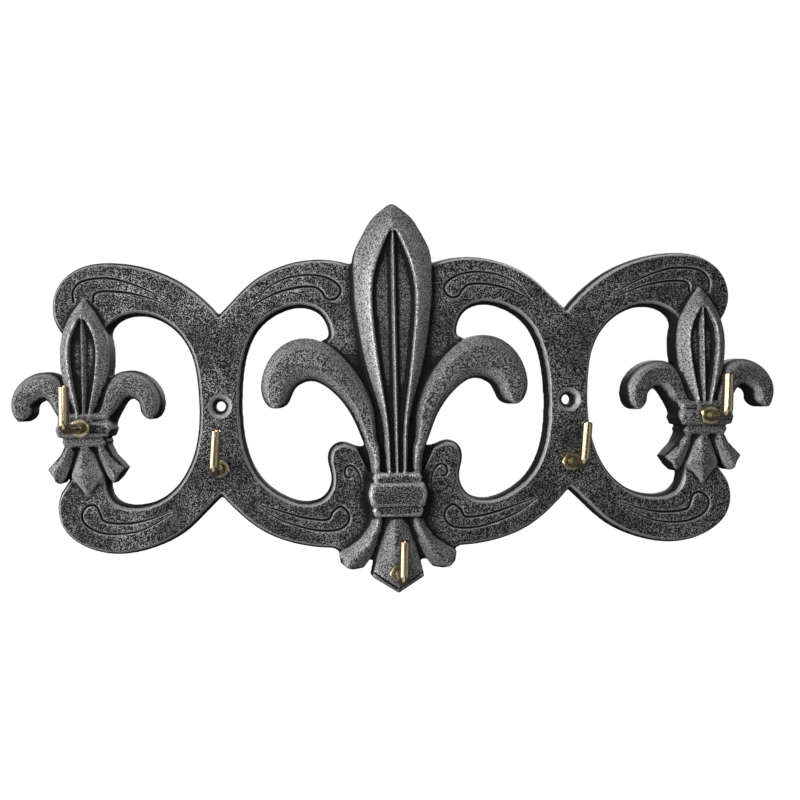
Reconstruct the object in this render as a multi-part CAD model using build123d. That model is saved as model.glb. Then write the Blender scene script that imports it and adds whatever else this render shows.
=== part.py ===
from build123d import *
import os
from math import cos, radians

# Wall key rack: one flat-backed iron casting with five brass hooks, each locked by a hexagon nut.
# The casting is drawn lying on its back, x to the right, y up the wall and h out of the wall,
# and is stood up at the end, so that its front faces -Y and its back lies in the plane Y = 0.

# Overall sizes in millimetres: the width is that of the scrolls, without the end petals
rack_width = 306.0
rack_height = 173.0

# The outlines below are drawn for this width and height and stretched to the sizes set above
drawn_width = 306.0
drawn_height = 173.0
stretch_x = rack_width / drawn_width
stretch_y = rack_height / drawn_height

# Places in the drawing: the end fleurs' axes, and where the scrolls join, with the line of the wall screws
small_axis_x = 137.4
junction_x = 78.2
screw_y = -1.4

# Scroll plate
plate_thickness = 6.0
edge_slope_width = 1.9
edge_slope_drop = 3.4
valley_floor_height = 2.6

# Centre fleur: heights above the back plane
leaf_edge_height = 8.6
leaf_crest_height = 13.0
leaf_floor_height = 9.4
leaf_ridge_height = 12.2
petal_height = 10.4
collar_height = 14.0
collar_slope = 1.2
tail_edge_height = 7.2
tail_crest_height = 10.4

# End fleurs: heights above the back plane
small_leaf_edge_height = 7.6
small_leaf_crest_height = 10.8
small_leaf_floor_height = 8.0
small_leaf_ridge_height = 10.2
small_petal_height = 8.8
small_collar_height = 11.4
small_tail_edge_height = 7.0
small_tail_crest_height = 9.2

# Common to the centre and end fleurs
wall_draft = 0.8
petal_crown = 3.0
ridge_half_width = 1.3
crest_flat_half_width = 1.3
collar_step = 1.2
collar_point = 1.2

# Wall screw holes, dished for the screw heads
screw_hole_radius = 2.25
screw_dish_radius = 5.4
screw_dish_depth = 2.6

# Brass hooks and their nuts
rod_diameter = 4.2
rod_end_chamfer = 0.6
bend_radius = 3.6
arm_length = 18.0
tapped_depth = 4.5
thread_clearance = 0.03
nut_across_flats = 7.9
nut_thickness = 2.8
nut_face_chamfer = 0.6


def at(x, y, h=0.0):
    """A drawn point, stretched to the size of the rack."""
    return Vector(x * stretch_x, y * stretch_y, h)


def shifted(runs, distance):
    """The runs of a closed loop, moved into the metal, which lies on the right hand of travel."""
    corners = [Vector(*point) for run in runs for point in run[:-1]]
    moved = []
    for index, here in enumerate(corners):
        arriving = (here - corners[index - 1]).normalized()
        leaving = (corners[(index + 1) % len(corners)] - here).normalized()
        side = Vector(arriving.Y + leaving.Y, -arriving.X - leaving.X).normalized()
        squareness = side.dot(Vector(arriving.Y, -arriving.X))
        moved.append(here + side * (distance / squareness))
    moved.append(moved[0])
    first = 0
    result = []
    for run in runs:
        last = first + len(run) - 1
        result.append([(point.X, point.Y) for point in moved[first:last + 1]])
        first = last
    return result


def outline(runs, h):
    """A face at height h: a run of two points is a straight edge, a longer run a smooth curve."""
    edges = []
    for run in runs:
        points = [at(x, y, h) for x, y in run]
        edges.append(Line(*points) if len(points) == 2 else Spline(*points))
    return make_face(edges)


def sloped(runs, height, slope_width, slope_drop):
    """A flat-topped block over a closed loop, its upper edge sloping in."""
    return loft([
        outline(runs, 0),
        outline(runs, height - slope_drop),
        outline(shifted(runs, slope_width), height),
    ], ruled=True)


def opening(runs, height, slope_width, slope_drop):
    """The cut through a plate over a closed loop, its upper edge sloping out."""
    above = 1.0
    growth = slope_width * (1 + above / slope_drop)
    return loft([
        outline(runs, -above),
        outline(runs, height - slope_drop),
        outline(shifted(runs, growth), height + above),
    ], ruled=True)


def upright(profile, left, right):
    """A face standing between two drawn points: the profile is a list of shares of the way and heights."""
    start = at(*left)
    span = at(*right) - start
    return make_face(Polyline(*[start + span * share + Vector(0, 0, h) for share, h in profile], close=True))


def level(profile_half, y):
    """A face standing across the axis at y, from half of a profile of distances and heights."""
    whole = profile_half + [(-x, h) for x, h in reversed(profile_half) if x > 0]
    return make_face(Polyline(*[at(x, y, h) for x, h in whole], close=True))


def hollow_leaf(stations, tips, heights):
    """A leaf whose sloped rim runs round two recesses with a ridge between them, up to a mitred tip.

    Stations are y, half width and recess half width, up to the head of the recess.
    Tips are y and half width from there on. Heights are those of edge, crest, floor and ridge.
    """
    edge, crest, floor, ridge = heights
    blade = []
    for y, half_width, recess in stations:
        lip = min(1.0, 0.3 * recess)
        foot = min(ridge_half_width, 0.35 * recess)
        blade.append(level([
            (half_width + wall_draft, 0), (half_width, edge), (recess, crest), (recess - lip, floor),
            (foot, floor), (0, ridge),
        ], y))
    base_y, tip_y = tips[0][0], tips[-1][0]
    point = []
    for y, half_width in tips:
        top = edge + (crest - edge) * (tip_y - y) / (tip_y - base_y) + 0.05
        point.append(level([(half_width + wall_draft, 0), (half_width, edge), (0, top)], y))
    return loft(blade) + loft(point)


def kite(stations, edge, crest):
    """A straight-edged tail with a narrow flat along its crest, from its root to its tip."""
    sections = []
    for y, half_width in stations:
        flat = min(crest_flat_half_width, half_width / 2)
        top = edge + (crest - edge) * min(1, half_width / (2 * crest_flat_half_width))
        sections.append(level([(half_width + wall_draft, 0), (half_width, edge), (flat, top)], y))
    return loft(sections, ruled=True)


def side_tail(stations, edge, crest):
    """A curved tail with a ridge, lofted between points on its outer and inner edges."""
    profile = [(0, 0), (0, edge), (0.45, crest), (0.6, crest), (1, edge), (1, 0)]
    return loft([upright(profile, outer, inner) for outer, inner in stations], ruled=True)


def petal(stations, height):
    """A drooping petal with a broad crown, lofted between points on its upper and lower edges."""
    edge = height - petal_crown
    profile = [(-0.04, 0), (0, edge), (0.28, height), (0.72, height), (1, edge), (1.04, 0)]
    return loft([upright(profile, upper, lower) for upper, lower in stations])


def band(half_width, top_y, foot_y, height):
    """One flat band of a collar, its ends bluntly pointed and its upper edges sloping in."""
    middle_y = (top_y + foot_y) / 2
    corner_x = half_width - collar_point
    corners = [(-corner_x, foot_y), (-half_width, middle_y), (-corner_x, top_y), (corner_x, top_y),
               (half_width, middle_y), (corner_x, foot_y), (-corner_x, foot_y)]
    runs = [list(pair) for pair in zip(corners, corners[1:])]
    return sloped(runs, height, collar_slope, collar_slope)


def both_sides(part):
    """The part together with its mirror image about the rack's centre line."""
    return part + mirror(part, about=Plane.YZ)


def mirror_closed(runs):
    """A loop made of runs from the head to the foot of the centre line and their mirror image."""
    return runs + [[(-x, y) for x, y in reversed(run)] for run in reversed(runs)]


plate_loop = mirror_closed([
    [(0, 60), (19.8, 62.1)],
    [(19.8, 62.1), (36, 64.1), (50, 61.4), (63, 54.7), (72, 46.3), (78.2, 40.0)],
    [(78.2, 40.0), (85.5, 47.7), (96, 55.6), (110, 61.6), (127.4, 64.3), (141, 62), (149.7, 55),
     (153.0, 45), (150.3, 34.7)],
    [(150.3, 34.7), (146, 28)],
    [(146, 28), (146, -32)],
    [(146, -32), (150.5, -38.7)],
    [(150.5, -38.7), (152.2, -46), (149.4, -56.0), (141.2, -63.0), (128, -66.9), (108, -64.1),
     (94.5, -57.3), (85.5, -49.0), (78.3, -42.1)],
    [(78.3, -42.1), (69.8, -50.9), (60.8, -57.9), (48, -63.5), (28.8, -66.5)],
    [(28.8, -66.5), (19, -71.6)],
    [(19, -71.6), (11, -72.4)],
    [(11, -72.4), (0, -74.6)],
])
end_opening_loop = [
    [(128.0, 22), (127.0, 30)],
    [(127.0, 30), (125.2, 35.8), (117.6, 39.8), (106, 38.3), (97.5, 32.5), (91, 22.1), (88.4, 8), (88, -5.4),
     (89.7, -19), (95.5, -32.8), (105, -42), (115, -45), (124.2, -43.4), (128.2, -36.5)],
    [(128.2, -36.5), (128.0, 22)],
]
centre_opening_loop = [
    [(27, 16), (13, -6)],
    [(13, -6), (10.5, -20)],
    [(10.5, -20), (13, -20.3)],
    [(13, -20.3), (18, -20.2), (23.5, -18.4), (28.6, -20.6), (30.5, -26), (29, -34), (32.5, -42.8),
     (40.5, -45.1), (51, -41.8), (60.2, -34.2), (66.3, -21.5), (68.5, -6), (68, 10), (65, 24.5),
     (59.2, 34.4), (50.5, 40.4), (40.5, 42.4), (33.2, 39.6), (29.4, 33.2), (29.4, 29), (31.7, 27.8)],
    [(31.7, 27.8), (27, 16)],
]
# Sunk places in the plate, beside the roots of the centre petals
valley_loop = [
    [(18.6, -19), (11.5, -19)],
    [(11.5, -19), (9.6, -32)],
    [(9.6, -32), (12.4, -32)],
    [(12.4, -32), (18.6, -19)],
]
# Stations of the petals and side tails: a point on the upper or outer edge and one on the lower or inner edge
petal_stations = [
    ((6.4, -33), (11.2, -33)), ((7.4, -20), (13.6, -20)), ((8.8, -6), (18.8, -7)), ((13.5, 7), (25.5, 2.6)),
    ((22.5, 19), (32, 8)), ((33.5, 27), (37.5, 9.8)), ((44.8, 27.4), (42, 8.6)), ((53.9, 21.3), (45, 6.2)),
    ((58.6, 12.3), (46.6, 3)), ((59.2, 3.5), (48, -0.2)), ((56.6, -1.6), (50.4, -2.4)),
    ((54.6, -2.8), (52.6, -2.9)),
]
small_petal_stations = [
    ((3, -9), (11.5, -9)), ((4.5, -2), (13.6, -3.6)), ((8, 8), (16.6, 1.6)), ((14.5, 14.6), (19, 3.2)),
    ((22, 14.9), (21.5, 2.6)), ((29, 11), (23.4, 0.6)), ((32.9, 5), (23.8, -1.6)),
    ((33.4, -1.2), (24.2, -3.4)), ((31.8, -4.9), (25.6, -5.3)), ((29.8, -6.4), (27.8, -6.5)),
]
leaf_stations = [
    (-34, 4.4, 2.9), (-20, 5.2, 3.6), (-6, 6.8, 4.6), (8, 10.6, 6.5), (22.5, 14.0, 8.3), (37, 16.2, 9.7),
    (48, 17.2, 9.9), (57, 17.4, 8.6), (65, 16.8, 6.0), (70.3, 14.8, 3.7), (74.7, 12.4, 1.2),
]
leaf_tips = [(74.7, 12.4), (77.4, 10.9), (81.2, 8.1), (84.0, 4.9), (86.0, 2.2), (87.0, 0.4)]
leaf_heights = (leaf_edge_height, leaf_crest_height, leaf_floor_height, leaf_ridge_height)

small_leaf_stations = [
    (-7, 5.0, 2.8), (2.2, 6.6, 3.6), (11, 9.6, 5.2), (20, 10.8, 6.2), (27, 10.6, 6.0), (33, 9.2, 4.3),
    (38.8, 6.6, 1.0),
]
small_leaf_tips = [(38.8, 6.6), (42.6, 4.2), (45.8, 1.7), (47.4, 0.3)]
small_leaf_heights = (small_leaf_edge_height, small_leaf_crest_height, small_leaf_floor_height,
                      small_leaf_ridge_height)

centre_kite_stations = [(-49, 4.6), (-79.0, 11.5), (-86.0, 0.4)]
small_kite_stations = [(-16, 2.4), (-31.4, 7.0), (-39.4, 0.4)]
centre_tail_stations = [
    ((10.2, -49.5), (4.8, -49.5)), ((12.6, -56), (6.6, -58)), ((16.8, -61.6), (9.4, -65)),
    ((21.8, -65.2), (12.6, -71)), ((26.4, -67.8), (15.4, -74.6)), ((25.6, -72.4), (20.2, -75.4)),
]
small_tail_stations = [
    ((9.0, -16), (3.6, -16)), ((11.6, -21.8), (5.7, -23.5)), ((17.3, -27.9), (9.2, -31.4)),
    ((14.4, -32.2), (11.8, -34.8)),
]
centre_collar_bands = [(11.0, -32.0, -36.8), (13.0, -36.4, -46.6), (11.4, -46.2, -51.4)]
small_collar_bands = [(11.4, -3.2, -7.2), (12.4, -7.0, -13.8), (10.0, -13.6, -18.0)]

# Each hook: its name, the x and y of its shank, the height of its seat, how far its arm stands out
# from the seat, the lean of the arm in degrees and the turn of its nut
centre_hook_y = -76.2
inner_hook_y = -29.0
end_hook_y = -9.6
hooks = [
    ("left_end", -small_axis_x, end_hook_y, small_collar_height, 19.5, 0.5, 30),
    ("left_inner", -junction_x, inner_hook_y, plate_thickness, 18.5, 4.5, 12),
    ("centre", 0.0, centre_hook_y, tail_crest_height, 17.2, 2.5, 5),
    ("right_inner", junction_x, inner_hook_y, plate_thickness, 15.5, 5.5, 0),
    ("right_end", small_axis_x, end_hook_y, small_collar_height, 13.5, 3.0, 22),
]


def scroll_plate():
    """The plate of four linked scrolls, pierced by its openings."""
    plate = sloped(plate_loop, plate_thickness, edge_slope_width, edge_slope_drop)
    for loop in (end_opening_loop, centre_opening_loop):
        cut = opening(loop, plate_thickness, edge_slope_width, edge_slope_drop)
        plate -= cut
        plate -= mirror(cut, about=Plane.YZ)
    valley = extrude(outline(valley_loop, valley_floor_height), amount=plate_thickness)
    return plate - both_sides(valley)


def collar(bands, height):
    """A collar of three bands, the middle one standing proud of the others."""
    upper, middle, lower = bands
    return band(*upper, height - collar_step) + band(*middle, height) + band(*lower, height - collar_step)


def centre_fleur():
    """The large fleur: a hollow leaf, two drooping petals, a collar and three tails."""
    fleur = hollow_leaf(leaf_stations, leaf_tips, leaf_heights)
    fleur += both_sides(petal(petal_stations, petal_height))
    fleur += both_sides(side_tail(centre_tail_stations, tail_edge_height, tail_crest_height))
    fleur += kite(centre_kite_stations, tail_edge_height, tail_crest_height)
    fleur += collar(centre_collar_bands, collar_height)
    return fleur


def end_fleur():
    """The small fleur at the rack's right end."""
    fleur = hollow_leaf(small_leaf_stations, small_leaf_tips, small_leaf_heights)
    fleur += both_sides(petal(small_petal_stations, small_petal_height))
    fleur += both_sides(side_tail(small_tail_stations, small_tail_edge_height, small_tail_crest_height))
    fleur += kite(small_kite_stations, small_tail_edge_height, small_tail_crest_height)
    fleur += collar(small_collar_bands, small_collar_height)
    return Pos(at(small_axis_x, 0)) * fleur


def screw_hole(x):
    """A through hole for a wall screw with a dished mouth."""
    mouth = Pos(at(x, screw_y, plate_thickness - screw_dish_depth / 2))
    dish = Cone(screw_hole_radius, screw_dish_radius, screw_dish_depth)
    hole = Cylinder(screw_hole_radius, 4 * plate_thickness)
    return mouth * dish + Pos(at(x, screw_y)) * hole


def tapped_hole(x, y, seat):
    """A blind hole that takes a hook's shank."""
    radius = rod_diameter / 2 + thread_clearance
    reach = 3 * tapped_depth
    return Pos(at(x, y, seat - tapped_depth - thread_clearance + reach / 2)) * Cylinder(radius, reach)


def hook(reach, lean):
    """A bent brass rod: a shank that comes straight out of its seat and an arm that turns up."""
    section = Circle(rod_diameter / 2)
    straight = reach - bend_radius
    start_of_bend = Pos(0, 0, straight) * section
    end_of_bend = Plane((0, bend_radius, reach), z_dir=(0, 1, 0)) * section
    rod = extrude(start_of_bend, amount=-(straight + tapped_depth))
    rod += revolve(start_of_bend, Axis((0, bend_radius, straight), (-1, 0, 0)), 90)
    rod += extrude(end_of_bend, amount=arm_length - bend_radius)
    ends = rod.faces().filter_by(GeomType.PLANE).edges()
    return Rot(0, 0, -lean) * chamfer(ends, rod_end_chamfer)


def nut():
    """A hexagon nut with the corners of its outer face turned off and a bore that clears the rod."""
    hexagon = extrude(RegularPolygon(nut_across_flats / 2, 6, major_radius=False), amount=nut_thickness)
    corner_radius = nut_across_flats / 2 / cos(radians(30))
    blank = Cylinder(corner_radius, nut_thickness, align=(Align.CENTER, Align.CENTER, Align.MIN))
    rim = blank.edges().group_by(Axis.Z)[-1]
    turned = chamfer(rim, length=nut_face_chamfer, length2=corner_radius - nut_across_flats / 2 + 0.2)
    bore = Cylinder(rod_diameter / 2 + thread_clearance, 4 * nut_thickness)
    return (hexagon & turned) - bore


def stood_up(part):
    """The part turned up against the wall, with the line of screw holes at the origin's height."""
    return Rot(90, 0, 0) * Pos(-at(0, screw_y)) * part


casting = scroll_plate() + centre_fleur() + both_sides(end_fleur())
for x in (-junction_x, junction_x):
    casting -= screw_hole(x)
for name, x, y, seat, reach, lean, turn in hooks:
    casting -= tapped_hole(x, y, seat)

os.makedirs("parts", exist_ok=True)
export_step(stood_up(casting), "parts/rack_casting.step")
for name, x, y, seat, reach, lean, turn in hooks:
    place = Pos(at(x, y, seat))
    export_step(stood_up(place * hook(reach, lean)), f"parts/hook_{name}.step")
    export_step(stood_up(place * Rot(0, 0, -turn) * nut()), f"parts/nut_{name}.step")
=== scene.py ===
"""Wall key rack: black-stained cast iron, dry-brushed with silver, and bright brass hooks and nuts.

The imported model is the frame. The casting is remade from it with rounded edges, engraved scrolls and
the unevenness of sand-cast metal; the hooks and nuts keep their own meshes and get threads and finishes.
Sizes are in metres, apart from those said to be in millimetres.
"""

import logging
import math
from dataclasses import dataclass
from enum import Enum
from typing import Any, Iterator

import bmesh
import bpy
import numpy as np
from mathutils import Matrix, Vector, noise


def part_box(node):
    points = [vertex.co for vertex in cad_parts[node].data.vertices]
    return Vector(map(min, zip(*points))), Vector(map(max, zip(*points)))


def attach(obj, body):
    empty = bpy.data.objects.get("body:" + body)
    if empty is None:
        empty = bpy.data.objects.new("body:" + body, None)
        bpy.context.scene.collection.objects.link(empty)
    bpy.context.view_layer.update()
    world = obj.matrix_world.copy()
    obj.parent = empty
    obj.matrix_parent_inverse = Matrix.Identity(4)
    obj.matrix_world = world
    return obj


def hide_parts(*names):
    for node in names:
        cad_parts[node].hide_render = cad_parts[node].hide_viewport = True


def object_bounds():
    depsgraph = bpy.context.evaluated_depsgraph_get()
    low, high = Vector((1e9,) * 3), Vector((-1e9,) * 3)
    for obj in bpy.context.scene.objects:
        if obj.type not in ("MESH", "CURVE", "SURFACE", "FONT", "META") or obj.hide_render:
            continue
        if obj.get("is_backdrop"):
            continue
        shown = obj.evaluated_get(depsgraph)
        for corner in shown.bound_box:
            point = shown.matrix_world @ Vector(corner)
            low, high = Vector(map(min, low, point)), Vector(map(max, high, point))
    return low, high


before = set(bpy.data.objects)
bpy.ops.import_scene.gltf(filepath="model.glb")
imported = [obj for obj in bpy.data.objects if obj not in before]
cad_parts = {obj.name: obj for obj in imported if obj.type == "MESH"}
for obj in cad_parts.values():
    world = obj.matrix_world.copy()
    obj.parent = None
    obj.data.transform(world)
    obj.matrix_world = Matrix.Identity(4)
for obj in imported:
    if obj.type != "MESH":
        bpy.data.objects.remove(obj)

LOG = logging.getLogger("key_rack")
MM = 0.001
BODY = "root"
CAD_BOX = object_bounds()

Colour = tuple[float, float, float]
Place = tuple[float, float, float]
Point = tuple[float, float]
Span = tuple[float, float]

WHITE: Colour = (1.0, 1.0, 1.0)


class HookName(Enum):
    """The five hooks, from left to right."""

    LEFT_END = "left_end"
    LEFT_INNER = "left_inner"
    CENTRE = "centre"
    RIGHT_INNER = "right_inner"
    RIGHT_END = "right_end"


class Slot(Enum):
    """The record's material slots."""

    IRON = "iron"
    HOOK_BRASS = "hook_brass"


class Mark(Enum):
    """What each point of the casting carries for its finish."""

    CREST = "crest"
    VALLEY = "valley"
    GROOVE = "groove"
    LIP = "lip"


def linked(name: str, data: bpy.types.ID) -> bpy.types.Object:
    """Makes an object and puts it into the scene.

    Args:
        name: the object's name.
        data: its mesh, camera or light.

    Returns:
        The object.
    """
    made = bpy.data.objects.new(name, data)
    bpy.context.scene.collection.objects.link(made)
    return made


def make_plain(piece: bpy.types.Object) -> None:
    """Makes modifiers part of the mesh.

    Args:
        piece: the object that has them, which gets the plain mesh.
    """
    evaluated = piece.evaluated_get(bpy.context.evaluated_depsgraph_get())
    mesh = bpy.data.meshes.new_from_object(evaluated)
    piece.modifiers.clear()
    piece.data = mesh


def triangle_count(mesh: bpy.types.Mesh) -> int:
    """How many triangles the mesh's faces make."""
    return sum(len(face.vertices) - 2 for face in mesh.polygons)


@dataclass(frozen=True)
class Grain:
    """A noise: the size of its features, its octaves and how strong the small ones are."""

    size: float
    detail: float
    roughness: float


class Value:
    """A socket of a shader tree that takes part in Python arithmetic."""

    def __init__(self, graph: "Graph", socket: bpy.types.NodeSocket) -> None:
        """Keeps the tree and the socket."""
        self.graph = graph
        self.socket = socket

    def _math(self, operation: str, first: Any, second: Any) -> "Value":
        """Adds one Math node."""
        return self.graph.add("ShaderNodeMath", {"operation": operation}, {0: first, 1: second})

    def __add__(self, other: Any) -> "Value":
        """This value plus the other."""
        return self._math("ADD", self, other)

    __radd__ = __add__

    def __sub__(self, other: Any) -> "Value":
        """This value less the other."""
        return self._math("SUBTRACT", self, other)

    def __rsub__(self, other: Any) -> "Value":
        """The other less this value."""
        return self._math("SUBTRACT", other, self)

    def __mul__(self, other: Any) -> "Value":
        """This value times the other."""
        return self._math("MULTIPLY", self, other)

    __rmul__ = __mul__

    def __pow__(self, other: Any) -> "Value":
        """This value raised to the other."""
        return self._math("POWER", self, other)

    def __rpow__(self, other: Any) -> "Value":
        """The other raised to this value."""
        return self._math("POWER", other, self)

    def at_most(self, other: Any) -> "Value":
        """The smaller of this value and the other."""
        return self._math("MINIMUM", self, other)

    def at_least(self, other: Any) -> "Value":
        """The larger of this value and the other."""
        return self._math("MAXIMUM", self, other)

    def between(self, first: Any, second: Any) -> "Value":
        """The first where this value is 0, the second where it is 1, and a mix between."""
        return first * (1.0 - self) + second * self

    def rise(self, span: Span) -> "Value":
        """A smooth step from 0 at the span's start to 1 at its end."""
        start, end = span
        return self.graph.add(
            "ShaderNodeMapRange",
            {"interpolation_type": "SMOOTHSTEP"},
            {"Value": self, "From Min": start, "From Max": end},
        )

    def part(self, axis: str) -> "Value":
        """One component of a vector: X, Y or Z."""
        return self.graph.add("ShaderNodeSeparateXYZ", {}, {"Vector": self}, output=axis)


@dataclass(frozen=True)
class Amount:
    """A number that grows with a mask: the least it is, and what a full mask adds."""

    least: float
    gain: float

    def over(self, mask: Value) -> Value:
        """The number at each point."""
        return mask * self.gain + self.least


class Graph:
    """The shader tree of a material or of the world."""

    def __init__(self, owner: bpy.types.Material | bpy.types.World) -> None:
        """Empties the owner's tree."""
        owner.use_nodes = True
        self.owner = owner
        self.tree = owner.node_tree
        self.tree.nodes.clear()

    def node(self, kind: str, settings: dict[str, Any], inputs: dict[str | int, Any]) -> bpy.types.Node:
        """Adds a node.

        Args:
            kind: the node's Blender type.
            settings: the node's attributes, which are set first.
            inputs: values or links, by socket name or number.

        Returns:
            The node.
        """
        node = self.tree.nodes.new(kind)
        for key, setting in settings.items():
            setattr(node, key, setting)
        for key, given in inputs.items():
            if isinstance(given, Value):
                self.tree.links.new(given.socket, node.inputs[key])
            else:
                node.inputs[key].default_value = given
        return node

    def add(
        self,
        kind: str,
        settings: dict[str, Any] | None = None,
        inputs: dict[str | int, Any] | None = None,
        output: str | int = 0,
    ) -> Value:
        """Adds a node whose output is used in shader maths.

        Args:
            kind: the node's Blender type.
            settings: the node's attributes.
            inputs: values or links, by socket name or number.
            output: the name or number of the output.

        Returns:
            The wrapped output.
        """
        return Value(self, self.node(kind, settings or {}, inputs or {}).outputs[output])

    def position(self) -> Value:
        """The Object coordinates."""
        return self.add("ShaderNodeTexCoord", output="Object")

    def normal(self) -> Value:
        """The surface's normal."""
        return self.add("ShaderNodeNewGeometry", output="Normal")

    def mark(self, mark: Mark) -> Value:
        """A number that the casting's mesh carries."""
        return self.add("ShaderNodeAttribute", {"attribute_name": mark.value}, output="Fac")

    def noise(self, grain: Grain) -> Value:
        """Noise about 0.5."""
        return self.add("ShaderNodeTexNoise", {}, {
            "Vector": self.position(),
            "Scale": 1.0 / grain.size,
            "Detail": grain.detail,
            "Roughness": grain.roughness,
        })

    def blend(self, share: Value, first: Colour, second: Colour) -> Value:
        """A colour between two colours."""
        inputs = {0: share, 6: (*first, 1.0), 7: (*second, 1.0)}
        return self.add("ShaderNodeMix", {"data_type": "RGBA"}, inputs, output=2)

    def bump(self, height: Value, distance: float, strength: float = 1.0) -> Value:
        """A normal bent by a height between 0 and 1, whose full range is the distance."""
        inputs = {"Height": height, "Distance": distance, "Strength": strength}
        return self.add("ShaderNodeBump", {}, inputs)

    def finish(self, inputs: dict[str | int, Any]) -> bpy.types.Material:
        """Closes a material's tree.

        Args:
            inputs: values or links of the surface shader.

        Returns:
            The material.
        """
        shader = self.add("ShaderNodeBsdfPrincipled", {}, inputs, output="BSDF")
        self.node("ShaderNodeOutputMaterial", {}, {"Surface": shader})
        return self.owner


@dataclass(frozen=True)
class PewterFinish:
    """Sand-cast iron stained black, with silver rubbed over whatever stands proud.

    A facing is 1 on what looks straight forwards and -1 on the back. Heights are above the back. A crest or
    a depth is the millimetres by which a point stands above or below what is round it. The numbers whose
    names start with "on" are shares of silver; on ridges, high rims and low slopes part of that silver is a
    painted highlight, and the darkening of hollows is partly painted shade.
    """

    stain: Colour = (0.006, 0.006, 0.0065)
    silver: Colour = (0.56, 0.55, 0.56)
    coarse: Grain = Grain(0.00056, 1.0, 0.5)
    fine: Grain = Grain(0.00034, 1.0, 0.5)
    fine_share: float = 0.35
    patches: Grain = Grain(0.022, 3.0, 0.6)
    patch_edge: Span = (0.30, 0.70)
    speck_edge: Span = (0.49, 0.59)
    rim_speck_edge: Span = (0.43, 0.54)
    flat_facing: Span = (0.90, 0.98)
    back_facing: Span = (-0.3, -0.8)
    slope_height: Span = (0.0066, 0.0082)
    low_top_height: Span = (0.0072, 0.0086)
    high_top_height: Span = (0.0106, 0.0114)
    rim_height: Span = (0.0100, 0.0120)
    ridge_height: Span = (0.0092, 0.0104)
    ridge_crest: Span = (0.22, 0.60)
    foot_crest: Span = (-0.12, -0.45)
    hollow_depth: Span = (0.25, 1.9)
    on_flats: Amount = Amount(0.20, 0.37)
    on_bare_flats: float = 0.004
    on_rims: Amount = Amount(0.09, 0.54)
    rim_gain_and_highlight: Amount = Amount(0.78, 0.34)
    on_edges_and_highlights: Amount = Amount(0.46, 0.30)
    on_ridges_and_glints: Amount = Amount(0.12, 0.36)
    on_lips: float = 0.4
    on_back: Amount = Amount(0.10, 0.14)
    rim_share_of_low_tops: float = 0.30
    hollow_stain_and_shade: float = 0.975
    metallic: Amount = Amount(0.45, 0.2)
    roughness: Amount = Amount(0.60, -0.11)
    specular: float = 0.10
    grain_depth: float = 0.00030
    grain_relief: Amount = Amount(0.25, 0.75)

    def material(self) -> bpy.types.Material:
        """Builds the finish.

        Returns:
            The material of the casting.
        """
        graph = Graph(bpy.data.materials.new("dry_brushed_iron"))
        facing = graph.normal().part("Y") * -1.0
        height = graph.position().part("Y") * -1.0
        flat = facing.rise(self.flat_facing)
        coarse, fine = graph.noise(self.coarse), graph.noise(self.fine)
        mottle = coarse * (1.0 - self.fine_share) + fine * self.fine_share
        specks = mottle.rise(self.speck_edge)
        crest = graph.mark(Mark.CREST)
        # Silver along the crests of raised ridges: partly dry-brushed silver, partly painted glints that
        # stand in for highlights.
        ridge_silver_and_glints = crest.rise(self.ridge_crest) * height.rise(self.ridge_height)
        # Hollows and the feet of slopes lose their silver: partly the black stain left there, partly
        # painted shade in the recesses.
        hollows = graph.mark(Mark.VALLEY).rise(self.hollow_depth).at_least(crest.rise(self.foot_crest))
        share = self._rubbed(height, flat, mottle, specks) + ridge_silver_and_glints * self.on_ridges_and_glints.over(specks)
        share = share * (1.0 - hollows * self.hollow_stain_and_shade) + graph.mark(Mark.LIP) * specks * self.on_lips
        share = share * (1.0 - graph.mark(Mark.GROOVE))
        share = facing.rise(self.back_facing).between(share, self.on_back.over(specks))
        share = share.at_most(1.0).at_least(0.0)
        return graph.finish({
            "Base Color": graph.blend(share, self.stain, self.silver),
            "Metallic": self.metallic.over(share),
            "Roughness": self.roughness.over(share),
            "Specular IOR Level": self.specular,
            "Normal": graph.bump(mottle * self.grain_relief.over(flat), self.grain_depth),
        })

    def _rubbed(self, height: Value, flat: Value, mottle: Value, specks: Value) -> Value:
        """The share of silver that brushing leaves, with painted highlights added on high rims and low
        slopes.

        Args:
            height: each point's height.
            flat: 1 where the surface looks straight forwards, 0 on slopes.
            mottle: the noise of the sand-cast surface.
            specks: 1 on the high grains of that noise.

        Returns:
            The share on flats, slopes, rims and edges.
        """
        patches = height.graph.noise(self.patches).rise(self.patch_edge)
        on_flats = specks * self.on_flats.over(patches) + self.on_bare_flats
        on_rims = self.on_rims.over(mottle.rise(self.rim_speck_edge))
        # More silver on the highest rims: partly dry-brushed silver, partly a painted highlight that makes
        # the tall leaves brighter than the low tails and kite.
        on_rims = on_rims * self.rim_gain_and_highlight.over(height.rise(self.rim_height))
        # Silver on low slopes and bevels: partly dry-brushed silver, partly a painted highlight on the
        # bevels.
        on_slopes = height.rise(self.slope_height).between(self.on_edges_and_highlights.over(specks), on_rims)
        low_tops = height.rise(self.low_top_height) * (1.0 - height.rise(self.high_top_height))
        on_tops = (low_tops * self.rim_share_of_low_tops).between(on_flats, on_rims)
        return flat.between(on_slopes, on_tops)


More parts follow.
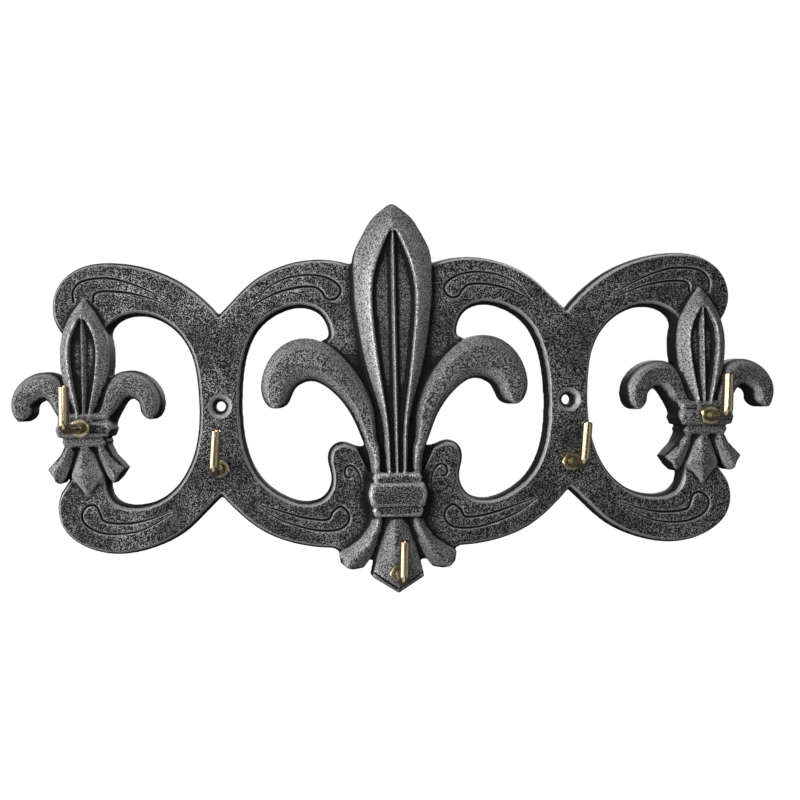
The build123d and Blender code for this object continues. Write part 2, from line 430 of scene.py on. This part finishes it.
@dataclass(frozen=True)
class BrassFinish:
    """Bright brass with a little tarnish, and a painted shade that dulls a nut round its bore."""

    name: str
    bright: Colour
    dull: Colour
    roughness: float
    haze: float = 0.12
    tarnish: Grain = Grain(0.0035, 4.0, 0.65)
    tarnish_edge: Span = (0.40, 0.72)
    bore_shade: Span = (0.0023, 0.0031)

    def material(self, axis: Point | None = None) -> bpy.types.Material:
        """Builds the finish.

        Args:
            axis: the x and z of a nut's bore, round which the brass is dulled as painted shade.

        Returns:
            The material of a rod, a thread or a nut.
        """
        graph = Graph(bpy.data.materials.new(self.name))
        tarnish = graph.noise(self.tarnish).rise(self.tarnish_edge)
        # Painted shade: the brass of a nut is dull in a ring round its bore.
        if axis is not None:
            place = graph.position()
            across = place.part("X") - axis[0]
            up = place.part("Z") - axis[1]
            radius = (across * across + up * up) ** 0.5
            tarnish = tarnish.at_least(1.0 - radius.rise(self.bore_shade))
        return graph.finish({
            "Base Color": graph.blend(tarnish, self.bright, self.dull),
            "Metallic": 1.0,
            "Roughness": Amount(self.roughness, self.haze).over(tarnish),
        })


@dataclass(frozen=True)
class PaperFinish:
    """The white matt floor under the rack, as bright as the surround."""

    colour: Colour = (0.90, 0.90, 0.90)
    glow: float = 1.0
    roughness: float = 0.9
    fibre: Grain = Grain(0.02, 3.0, 0.5)
    fibre_depth: float = 0.0002
    fibre_strength: float = 0.1

    def material(self) -> bpy.types.Material:
        """Builds the finish.

        Returns:
            The material of the floor.
        """
        graph = Graph(bpy.data.materials.new("pale_floor"))
        return graph.finish({
            "Base Color": (*self.colour, 1.0),
            "Emission Color": (*WHITE, 1.0),
            "Emission Strength": self.glow,
            "Roughness": self.roughness,
            "Normal": graph.bump(graph.noise(self.fibre), self.fibre_depth, self.fibre_strength),
        })


def smooth_line(points: tuple[Point, ...], step: float = 0.25) -> np.ndarray:
    """Draws a smooth curve through a few points.

    Between two points it is a cubic, whose slope at each is that of the line from the point before to the
    point after.

    Args:
        points: x and z of the points, in millimetres.
        step: the distance between the curve's rows, in millimetres.

    Returns:
        Rows of x, z and the share of the curve that lies behind.
    """
    knots = [Vector(point) for point in points]
    knots = [2 * knots[0] - knots[1], *knots, 2 * knots[-1] - knots[-2]]
    spans = len(knots) - 3
    rows = []
    for index in range(spans):
        before, here, there, after = knots[index:index + 4]
        count = max(2, round((there - here).length / step))
        for part in range(count):
            t = part / count
            place = 0.5 * (
                2 * here + (there - before) * t
                + (2 * before - 5 * here + 4 * there - after) * t ** 2
                + (3 * here - before - 3 * there + after) * t ** 3
            )
            rows.append((place.x, place.y, (index + t) / spans))
    return np.array(rows)


@dataclass(frozen=True)
class Stroke:
    """One engraved line, in millimetres on the rack's face.

    It starts thinner and shallower than its half width and depth, and has both from a share of its way on.
    It cuts metal up to the height called top.
    """

    points: tuple[Point, ...]
    half_width: float = 0.92
    depth: float = 0.85
    top: float = 6.25
    start_share: float = 0.45
    full_from: float = 0.45

    def samples(self, side: int) -> np.ndarray:
        """The line on one half of the rack.

        Args:
            side: 1 for the right half, -1 for the left one.

        Returns:
            Rows of x, z, half width and depth.
        """
        x, z, way = smooth_line(self.points).T
        share = self.start_share + (1.0 - self.start_share) * np.minimum(1.0, way / self.full_from)
        return np.column_stack((side * x, z, self.half_width * share, self.depth * share))


@dataclass(frozen=True)
class Engraving:
    """The lines cut into the front of the casting, the same on both halves, in millimetres.

    They are the scroll leaves on the plate, each of an outer and an inner line, the rim round the foot of
    the kite and the curls beside the collar.
    """

    strokes: tuple[Stroke, ...] = (
        Stroke((
            (62.0, 45.0), (56.8, 51.6), (48.8, 56.2), (38.2, 58.0), (29.3, 56.6), (24.0, 53.0),
            (23.4, 49.6), (26.0, 47.0), (29.3, 47.2), (31.5, 50.3),
        )),
        Stroke(((63.5, 44.0), (58.0, 47.3), (50.5, 50.6), (41.5, 52.6), (34.5, 52.4), (31.5, 50.3))),
        Stroke((
            (62.5, -44.5), (57.0, -48.4), (51.0, -51.7), (42.5, -54.7), (35.0, -56.4), (27.5, -56.4),
            (23.2, -54.6), (21.4, -51.5), (22.0, -48.4), (25.2, -45.9), (28.6, -48.0),
        )),
        Stroke(((61.5, -44.2), (54.0, -46.6), (45.5, -49.4), (38.0, -51.2), (31.0, -51.6), (28.6, -48.0))),
        Stroke((
            (102.0, 48.6), (108.0, 51.8), (116.0, 55.3), (124.5, 57.8), (132.0, 58.1), (139.0, 56.6),
            (142.5, 52.5), (142.3, 47.5),
        )),
        Stroke((
            (102.4, 46.5), (108.5, 48.9), (116.0, 51.0), (124.0, 52.2), (130.5, 52.2), (133.3, 50.6),
            (133.4, 47.5),
        )),
        Stroke((
            (100.5, -47.5), (107.5, -51.6), (115.0, -54.8), (123.5, -56.0), (131.0, -55.5), (137.0, -53.0),
            (140.0, -49.8), (140.2, -46.0), (137.3, -43.0), (134.0, -43.5), (132.2, -47.2),
        )),
        Stroke((
            (100.5, -46.3), (109.0, -49.3), (117.5, -51.2), (125.8, -51.2), (130.8, -50.0), (132.2, -47.2),
        )),
        Stroke(
            ((10.6, -75.6), (7.2, -77.9), (3.5, -80.4), (0.35, -82.5)),
            half_width=0.70, depth=0.75, top=20.0, start_share=0.8,
        ),
        Stroke((
            (16.0, -38.2), (15.8, -35.6), (16.2, -32.6), (17.6, -29.6), (19.9, -27.7), (22.2, -28.4),
            (23.0, -30.8), (22.0, -32.9), (20.2, -32.8),
        ), half_width=0.85, depth=0.8),
    )
    lowest: float = 4.6
    reach: float = 2.0
    fine_border: float = 0.4
    stain_peak: float = 1.5
    stain_fall: float = 1.6
    lip_middle: float = 1.25
    lip_width: float = 0.25

    def near(self, points: np.ndarray) -> Iterator[tuple[np.ndarray, np.ndarray, np.ndarray]]:
        """Finds the front points near each line.

        Args:
            points: all points of the casting, in millimetres.

        Yields:
            The numbers of the points, their distances to the line and the line's nearest rows.
        """
        place = points[:, (0, 2)]
        for stroke in self.strokes:
            for side in (1, -1):
                rows = stroke.samples(side)
                line = rows[:, :2]
                front = (points[:, 1] < -self.lowest) & (points[:, 1] > -stroke.top)
                low, high = line.min(axis=0) - self.reach, line.max(axis=0) + self.reach
                index = np.nonzero(front & np.all((place > low) & (place < high), axis=1))[0]
                apart = place[index, None] - line[None]
                away = np.hypot(apart[:, :, 0], apart[:, :, 1])
                nearest = away.argmin(axis=1)
                yield index, away[np.arange(len(index)), nearest], rows[nearest]

    def covered(self, points: np.ndarray) -> np.ndarray:
        """Finds the points in the lines and just beside them.

        Args:
            points: all points of the casting, in millimetres.

        Returns:
            Whether each point lies there.
        """
        found = np.zeros(len(points), bool)
        for index, distance, row in self.near(points):
            found[index[distance < row[:, 2] + self.fine_border]] = True
        return found

    def carve(self, points: np.ndarray) -> None:
        """Sinks the lines into the front.

        Args:
            points: all points of the casting, in millimetres, changed in place.
        """
        for index, distance, row in self.near(points):
            way = np.clip(distance / row[:, 2], 0.0, 1.0)
            points[index, 1] += row[:, 3] * (0.5 + 0.5 * np.cos(math.pi * way))

    def marks(self, points: np.ndarray) -> tuple[np.ndarray, np.ndarray]:
        """Measures the points against the lines.

        Args:
            points: all points of the casting, in millimetres.

        Returns:
            How far each point lies in a line, and on the lips beside it, from 0 to 1.
        """
        groove = np.zeros(len(points))
        lip = np.zeros(len(points))
        for index, distance, row in self.near(points):
            way = distance / row[:, 2]
            stain = np.clip(self.stain_peak - self.stain_fall * way, 0.0, 1.0)
            groove[index] = np.maximum(groove[index], stain)
            lip[index] = np.maximum(lip[index], np.exp(-((way - self.lip_middle) / self.lip_width) ** 2))
        return groove, lip * (1.0 - groove)


@dataclass(frozen=True)
class Valley:
    """A steep valley kept open between two raised stems, in millimetres on the rack's face."""

    points: tuple[Point, ...] = ((7.4, -12.0), (6.9, -16.0), (6.5, -20.0), (6.15, -24.0), (6.0, -30.2))
    floor: float = 6.0
    floor_half_width: float = 0.35
    slope: float = 3.2
    lowest: float = 5.0
    foot_margin: float = 0.3
    side_margin: float = 4.0

    def open(self, points: np.ndarray) -> None:
        """Lowers what stands in the valley, on both halves of the rack.

        Args:
            points: rows of x, y and z in millimetres, changed in place.
        """
        x, z, _ = smooth_line(self.points).T
        near = (points[:, 2] > z.min() - self.foot_margin) & (points[:, 2] < z.max())
        near &= (points[:, 1] < -self.lowest) & (np.abs(points[:, 0]) < x.max() + self.side_margin)
        index = np.nonzero(near)[0]
        across = np.abs(points[index, 0])[:, None] - x
        up = points[index, 2][:, None] - z
        away = np.hypot(across, up).min(axis=1)
        height = self.floor + np.maximum(0.0, away - self.floor_half_width) * self.slope
        points[index, 1] = np.maximum(points[index, 1], -height)


@dataclass
class HeightMap:
    """The casting's front height over a grid, in millimetres, for telling crests from hollows.

    The points are rows of x, height and z. A blur reaches as many of its radii as blur_reach says.
    """

    points: np.ndarray
    cell: float = 0.5
    margin: float = 12.0
    blur_reach: int = 3
    empty: float = -1.0
    least_metal: float = 1e-6

    def __post_init__(self) -> None:
        """Keeps the highest point over each cell, and whether there is metal."""
        self.low = self.points[:, (0, 2)].min(axis=0) - self.margin
        high = self.points[:, (0, 2)].max(axis=0) + self.margin
        columns = self._columns(self.points)
        self.height = np.full(np.ceil((high - self.low) / self.cell).astype(int) + 1, self.empty)
        np.maximum.at(self.height, (columns[:, 0], columns[:, 1]), self.points[:, 1])
        self.metal = (self.height > 0).astype(float)
        self.height *= self.metal

    def _columns(self, points: np.ndarray) -> np.ndarray:
        """The grid cell of each point."""
        return np.rint((points[:, (0, 2)] - self.low) / self.cell).astype(int)

    def _blurred(self, grid: np.ndarray, radius: float) -> np.ndarray:
        """Blurs a grid with bell-shaped weights.

        Args:
            grid: the numbers of the cells.
            radius: the blur's radius in millimetres.

        Returns:
            The blurred grid.
        """
        reach = int(self.blur_reach * radius / self.cell)
        steps = np.arange(-reach, reach + 1) * self.cell / radius
        weights = np.exp(-0.5 * steps ** 2)
        weights /= weights.sum()
        for axis in (0, 1):
            grid = np.apply_along_axis(np.convolve, axis, grid, weights, mode="same")
        return grid

    def around(self, points: np.ndarray, radius: float) -> np.ndarray:
        """Looks up the mean front height round each point, of the metal alone.

        Args:
            points: rows of x, height and z.
            radius: how far round the point the mean goes, in millimetres.

        Returns:
            The heights in millimetres.
        """
        metal = np.maximum(self._blurred(self.metal, radius), self.least_metal)
        columns = self._columns(points)
        return (self._blurred(self.height, radius) / metal)[columns[:, 0], columns[:, 1]]


@dataclass
class Casting:
    """The iron rack: linked scrolls and three fleurs in one casting.

    Its surface stays even up to a height above the back. A crest and a valley are told by the mean height
    round a point, within a radius for each.
    """

    voxel: float = 0.0005
    merge_distance: float = 1e-6
    rounding_rounds: int = 3
    rounding_share: float = 0.5
    back_depth: float = 0.0003
    lump_size: float = 0.0045
    lump_height: float = 0.00009
    pit_size: float = 0.0016
    pit_height: float = 0.00005
    triangle_limit: int = 190_000
    even_height_in_mm: float = 0.4
    crest_radius_in_mm: float = 1.3
    valley_radius_in_mm: float = 4.5
    finish: PewterFinish = PewterFinish()
    engraving: Engraving = Engraving()
    valley: Valley = Valley()

    def build(self) -> bpy.types.Object:
        """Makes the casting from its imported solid.

        Returns:
            The finished piece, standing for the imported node.
        """
        piece = self._merged_copy()
        self._even(piece)
        self._subdivide_near_lines(piece.data)
        points = self._points(piece.data)
        self.valley.open(points)
        points = self._rounded(points, self._edges(piece.data))
        self.engraving.carve(points)
        self._roughen(points)
        piece.data.vertices.foreach_set("co", (points * MM).ravel())
        heights = HeightMap(self._turned(points))
        self._thin(piece)
        self._mark(piece.data, heights)
        piece.data.materials.clear()
        piece.data.materials.append(self.finish.material())
        self._shade(piece.data)
        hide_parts("rack_casting")
        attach(piece, BODY)
        LOG.info("casting: %d triangles", triangle_count(piece.data))
        return piece

    def _merged_copy(self) -> bpy.types.Object:
        """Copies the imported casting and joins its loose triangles.

        Returns:
            The copy.
        """
        work = bmesh.new()
        work.from_mesh(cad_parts["rack_casting"].data)
        bmesh.ops.remove_doubles(work, verts=work.verts, dist=self.merge_distance)
        mesh = bpy.data.meshes.new("rack_iron")
        work.to_mesh(mesh)
        work.free()
        return linked("rack_iron", mesh)

    def _even(self, piece: bpy.types.Object) -> None:
        """Makes the casting an even net of small squares.

        Args:
            piece: the casting.
        """
        remesh = piece.modifiers.new("even", "REMESH")
        remesh.mode = "VOXEL"
        remesh.voxel_size = self.voxel
        make_plain(piece)

    def _subdivide_near_lines(self, mesh: bpy.types.Mesh) -> None:
        """Halves the squares of the front that lie under an engraved line.

        Args:
            mesh: the casting's mesh.
        """
        near = self.engraving.covered(self._points(mesh))
        work = bmesh.new()
        work.from_mesh(mesh)
        work.verts.ensure_lookup_table()
        edges = {edge for index in np.nonzero(near)[0] for edge in work.verts[index].link_edges}
        bmesh.ops.subdivide_edges(work, edges=list(edges), cuts=1, use_grid_fill=True)
        work.to_mesh(mesh)
        work.free()

    @staticmethod
    def _points(mesh: bpy.types.Mesh) -> np.ndarray:
        """Reads a mesh's points.

        Args:
            mesh: the mesh.

        Returns:
            Rows of x, y and z in millimetres.
        """
        flat = np.empty(len(mesh.vertices) * 3)
        mesh.vertices.foreach_get("co", flat)
        return flat.reshape(-1, 3) / MM

    @staticmethod
    def _turned(points: np.ndarray) -> np.ndarray:
        """The points as rows of x, height above the back and z."""
        return points * (1, -1, 1)

    @staticmethod
    def _edges(mesh: bpy.types.Mesh) -> np.ndarray:
        """Reads a mesh's edges.

        Args:
            mesh: the mesh.

        Returns:
            Rows of two point numbers.
        """
        flat = np.empty(len(mesh.edges) * 2, int)
        mesh.edges.foreach_get("vertices", flat)
        return flat.reshape(-1, 2)

    def _rounded(self, points: np.ndarray, edges: np.ndarray) -> np.ndarray:
        """Draws the points towards their neighbours, which rounds every edge, and keeps the back flat.

        Args:
            points: all points of the casting, in millimetres.
            edges: rows of two point numbers.

        Returns:
            The rounded points.
        """
        count = len(points)
        neighbours = np.bincount(edges.ravel(), minlength=count)
        back = points[:, 1] > -self.back_depth / MM
        result = points.copy()
        for _ in range(self.rounding_rounds):
            mean = np.empty_like(result)
            for axis in range(3):
                column = result[:, axis]
                total = np.bincount(edges[:, 0], column[edges[:, 1]], count)
                total += np.bincount(edges[:, 1], column[edges[:, 0]], count)
                mean[:, axis] = total / neighbours
            result += (mean - result) * self.rounding_share
            result[back, 1] = 0.0
        return result

    def _roughen(self, points: np.ndarray) -> None:
        """Adds the low lumps and pits of a sand mould, from a little above the back on.

        Args:
            points: all points of the casting, in millimetres, changed in place.
        """
        for point in points:
            place = Vector(point) * MM
            lumps = noise.noise(place / self.lump_size) * self.lump_height
            pits = noise.noise(place / self.pit_size) * self.pit_height
            share = min(1.0, max(0.0, -point[1] - self.even_height_in_mm))
            point[1] -= (lumps + pits) / MM * share

    def _thin(self, piece: bpy.types.Object) -> None:
        """Brings the casting under its limit of triangles, where its surface is plainest.

        Args:
            piece: the casting.
        """
        triangles = triangle_count(piece.data)
        LOG.info("casting before thinning: %d triangles", triangles)
        if triangles > self.triangle_limit:
            decimate = piece.modifiers.new("thin", "DECIMATE")
            decimate.ratio = self.triangle_limit / triangles
            make_plain(piece)

    def _mark(self, mesh: bpy.types.Mesh, heights: HeightMap) -> None:
        """Gives each point what its finish goes by.

        Args:
            mesh: the casting's mesh.
            heights: the height of the casting's front, for telling crests from hollows.
        """
        points = self._points(mesh)
        groove, lip = self.engraving.marks(points)
        points = self._turned(points)
        columns = {
            Mark.CREST: points[:, 1] - heights.around(points, self.crest_radius_in_mm),
            Mark.VALLEY: heights.around(points, self.valley_radius_in_mm) - points[:, 1],
            Mark.GROOVE: groove,
            Mark.LIP: lip,
        }
        for mark, column in columns.items():
            attribute = mesh.attributes.new(mark.value, "FLOAT", "POINT")
            attribute.data.foreach_set("value", column.astype(np.float32))

    def _shade(self, mesh: bpy.types.Mesh) -> None:
        """Shades the casting smooth, all but the flat back.

        Args:
            mesh: the casting's mesh.
        """
        height = -self._points(mesh)[:, 1]
        mesh.shade_smooth()
        flat = self.back_depth / MM
        smooth = [bool(height[list(face.vertices)].max() > flat) for face in mesh.polygons]
        mesh.polygons.foreach_set("use_smooth", smooth)


class ThreadTree:
    """The Geometry Nodes tree that winds a thread round the shank at every point of a mesh."""

    SIZES = ("Radius", "Length", "Turns", "Ridge")
    STEPS_PER_TURN = 24
    RIDGE_SIDES = 5
    SHANK_TURN = (math.radians(90), 0.0, 0.0)

    def __init__(self, material: bpy.types.Material) -> None:
        """Builds the tree.

        Args:
            material: the finish of the threads.
        """
        self.tree = bpy.data.node_groups.new("shank_threads", "GeometryNodeTree")
        face = self.tree.interface
        face.new_socket("Geometry", in_out="INPUT", socket_type="NodeSocketGeometry")
        self.keys = {
            name: face.new_socket(name, in_out="INPUT", socket_type="NodeSocketFloat").identifier
            for name in self.SIZES
        }
        face.new_socket("Geometry", in_out="OUTPUT", socket_type="NodeSocketGeometry")
        given = self._node("NodeGroupInput")
        spiral = self._node("GeometryNodeCurveSpiral", Resolution=self.STEPS_PER_TURN)
        self._link(given, "Turns", spiral, "Rotations")
        self._link(given, "Radius", spiral, "Start Radius")
        self._link(given, "Radius", spiral, "End Radius")
        self._link(given, "Length", spiral, "Height")
        profile = self._node("GeometryNodeCurvePrimitiveCircle", Resolution=self.RIDGE_SIDES)
        self._link(given, "Ridge", profile, "Radius")
        ridge = self._node("GeometryNodeCurveToMesh", **{"Fill Caps": True})
        self._link(spiral, "Curve", ridge, "Curve")
        self._link(profile, "Curve", ridge, "Profile Curve")
        copies = self._node("GeometryNodeInstanceOnPoints", Rotation=self.SHANK_TURN)
        self._link(given, "Geometry", copies, "Points")
        self._link(ridge, "Mesh", copies, "Instance")
        whole = self._node("GeometryNodeRealizeInstances")
        self._link(copies, "Instances", whole, "Geometry")
        painted = self._node("GeometryNodeSetMaterial", Material=material)
        self._link(whole, "Geometry", painted, "Geometry")
        self._link(painted, "Geometry", self._node("NodeGroupOutput"), "Geometry")

    def _node(self, kind: str, **inputs: Any) -> bpy.types.Node:
        """Adds a node.

        Args:
            kind: the node's Blender type.
            inputs: values for its sockets, by name.

        Returns:
            The node.
        """
        node = self.tree.nodes.new(kind)
        for name, given in inputs.items():
            node.inputs[name].default_value = given
        return node

    def _link(self, source: bpy.types.Node, out: str, target: bpy.types.Node, into: str) -> None:
        """Joins two sockets by their names."""
        self.tree.links.new(source.outputs[out], target.inputs[into])

    def wind(self, piece: bpy.types.Object, sizes: dict[str, float]) -> None:
        """Turns a piece into threads, as a plain mesh.

        Args:
            piece: a mesh with one point where each thread starts.
            sizes: a value for each named input.
        """
        winding = piece.modifiers.new("threads", "NODES")
        winding.node_group = self.tree
        for name, size in sizes.items():
            winding[self.keys[name]] = size
        make_plain(piece)


@dataclass
class Brassware:
    """The five bent rods, their threads and their lock nuts."""

    rod_finish: BrassFinish = BrassFinish(
        "drawn_brass", (0.47, 0.39, 0.26), (0.36, 0.28, 0.165), roughness=0.19, haze=0.05)
    nut_finish: BrassFinish = BrassFinish(
        "turned_brass", (0.42, 0.37, 0.24), (0.10, 0.085, 0.045), roughness=0.26)
    # The threads' brass is dark to paint the shade that the shanks sit in.
    shaded_thread_finish: BrassFinish = BrassFinish(
        "shaded_thread_brass", (0.20, 0.165, 0.095), (0.09, 0.07, 0.04), roughness=0.34)
    rod_radius: float = 0.0021
    thread_pitch: float = 0.0007
    thread_turns: float = 5.0
    ridge_radius: float = 0.00024
    ridge_sunk_share: float = 0.4

    def build(self) -> None:
        """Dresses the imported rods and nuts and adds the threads."""
        rod = self.rod_finish.material()
        starts = []
        for hook in HookName:
            low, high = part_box(f"nut_{hook.value}")
            middle = (low + high) / 2
            starts.append((middle.x, low.y, middle.z))
            self._dress(f"hook_{hook.value}", rod)
            self._dress(f"nut_{hook.value}", self.nut_finish.material((middle.x, middle.z)))
            LOG.info("hook and nut %s: dressed", hook.value)
        self._threads(starts, self.shaded_thread_finish.material())

    @staticmethod
    def _dress(node: str, material: bpy.types.Material) -> None:
        """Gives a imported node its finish.

        Args:
            node: the node's name.
            material: the finish.
        """
        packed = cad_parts[node]
        packed.data.materials.clear()
        packed.data.materials.append(material)

    def _threads(self, starts: list[Place], material: bpy.types.Material) -> None:
        """Winds a thread round each shank, from its nut outwards.

        Args:
            starts: where the shanks leave their nuts.
            material: the finish of the threads, a dark brass that stands for painted shade.
        """
        mesh = bpy.data.meshes.new("thread_starts")
        mesh.from_pydata(starts, [], [])
        piece = linked("hook_threads", mesh)
        ThreadTree(material).wind(piece, {
            "Radius": self.rod_radius - self.ridge_sunk_share * self.ridge_radius,
            "Length": self.thread_pitch * self.thread_turns,
            "Turns": self.thread_turns,
            "Ridge": self.ridge_radius,
        })
        piece.data.shade_smooth()
        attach(piece, BODY)
        LOG.info("threads: %d faces", len(piece.data.polygons))


@dataclass(frozen=True)
class Lamp:
    """A square soft light that faces the rack, or with diffuse off is only mirrored in it."""

    name: str
    place: Place
    size: float
    power: float
    diffuse: bool = True

    def hang(self) -> None:
        """Puts the light into the scene."""
        data = bpy.data.lights.new(self.name, "AREA")
        data.size = self.size
        data.energy = self.power
        light = linked(self.name, data)
        light.visible_diffuse = self.diffuse
        light.location = self.place
        light.rotation_euler = (-Vector(self.place)).to_track_quat("-Z", "Y").to_euler()


@dataclass
class Studio:
    """The camera, the floor, the surround and the lights.

    The camera's place and distance are in millimetres. The foot is the pixel of the picture that lies
    square in front of the camera.
    """

    camera_place: Point = (-30.6, 1.4)
    camera_distance: float = 290.0
    focal_pixels: float = 635.6
    picture_pixels: int = 800
    foot_pixel: Point = (332.4, 401.0)
    roll_degrees: float = -1.17
    turn_degrees: float = -0.55
    sensor_width: float = 36.0
    floor_drop: float = 0.75
    floor_size: float = 14.0
    seen_strength: float = 1.0
    felt_colour: Colour = (0.95, 0.97, 1.0)
    felt_strength: float = 0.08
    lamps: tuple[Lamp, ...] = (
        Lamp("key", (-1.10, -0.64, 0.12), 1.40, 25.5),
        Lamp("front", (-0.080, -0.42, 0.11), 0.20, 0.82),
        Lamp("top", (0.0, -0.12, 0.90), 0.50, 2.2),
        Lamp("fill", (0.95, -0.80, -0.05), 1.20, 2.0, diffuse=False),
        Lamp("below", (-0.25, -0.65, -0.60), 0.80, 1.8, diffuse=False),
        Lamp("back", (0.35, 0.85, 0.55), 0.80, 12.0),
    )

    def build(self) -> None:
        """Sets up everything that isn't the rack."""
        bpy.context.scene.view_settings.view_transform = "Standard"
        self._camera()
        self._floor()
        self._surround()
        for lamp in self.lamps:
            lamp.hang()
        LOG.info("studio: camera, floor, surround and %d lights", len(self.lamps))

    def _camera(self) -> None:
        """The photograph's viewpoint: close in front of the rack, a little left of its middle."""
        data = bpy.data.cameras.new("camera")
        data.sensor_width = self.sensor_width
        data.lens = self.focal_pixels * self.sensor_width / self.picture_pixels
        middle = self.picture_pixels / 2
        data.shift_x = (middle - self.foot_pixel[0]) / self.picture_pixels
        data.shift_y = (self.foot_pixel[1] - middle) / self.picture_pixels
        camera = linked("camera", data)
        x, z = self.camera_place
        camera.matrix_world = (
            Matrix.Translation(Vector((x, -self.camera_distance, z)) * MM)
            @ Matrix.Rotation(math.radians(self.turn_degrees), 4, "Z")
            @ Matrix.Rotation(math.radians(90), 4, "X")
            @ Matrix.Rotation(math.radians(self.roll_degrees), 4, "Z")
        )
        bpy.context.scene.camera = camera

    def _floor(self) -> None:
        """A pale floor well below the rack, which hangs."""
        half = self.floor_size / 2
        corners = [(x * half, y * half, -self.floor_drop) for x, y in ((-1, -1), (1, -1), (1, 1), (-1, 1))]
        mesh = bpy.data.meshes.new("floor")
        mesh.from_pydata(corners, [], [(0, 1, 2, 3)])
        mesh.materials.append(PaperFinish().material())
        floor = linked("floor", mesh)
        floor.visible_diffuse = False
        floor.visible_glossy = False
        floor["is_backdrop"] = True

    def _surround(self) -> None:
        """A surround that the camera sees as white, and that lights the rack only a little."""
        world = bpy.data.worlds.new("surround")
        bpy.context.scene.world = world
        graph = Graph(world)
        seen, felt = (
            graph.add("ShaderNodeBackground", {}, {"Color": (*colour, 1.0), "Strength": strength})
            for colour, strength in ((WHITE, self.seen_strength), (self.felt_colour, self.felt_strength))
        )
        to_camera = graph.add("ShaderNodeLightPath", output="Is Camera Ray")
        mixed = graph.add("ShaderNodeMixShader", {}, {0: to_camera, 1: felt, 2: seen})
        graph.node("ShaderNodeOutputWorld", {}, {"Surface": mixed})


def write_sizes() -> None:
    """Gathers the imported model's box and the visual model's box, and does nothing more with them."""
    boxes = {"cad": CAD_BOX, "visual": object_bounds()}
    {name: [list(corner) for corner in box] for name, box in boxes.items()}


def main() -> None:
    """Builds the rack and its surroundings."""
    logging.basicConfig(level=logging.INFO, format="%(name)s: %(message)s")
    Casting().build()
    Brassware().build()
    Studio().build()
    write_sizes()


if __name__ == "__main__":
    main()
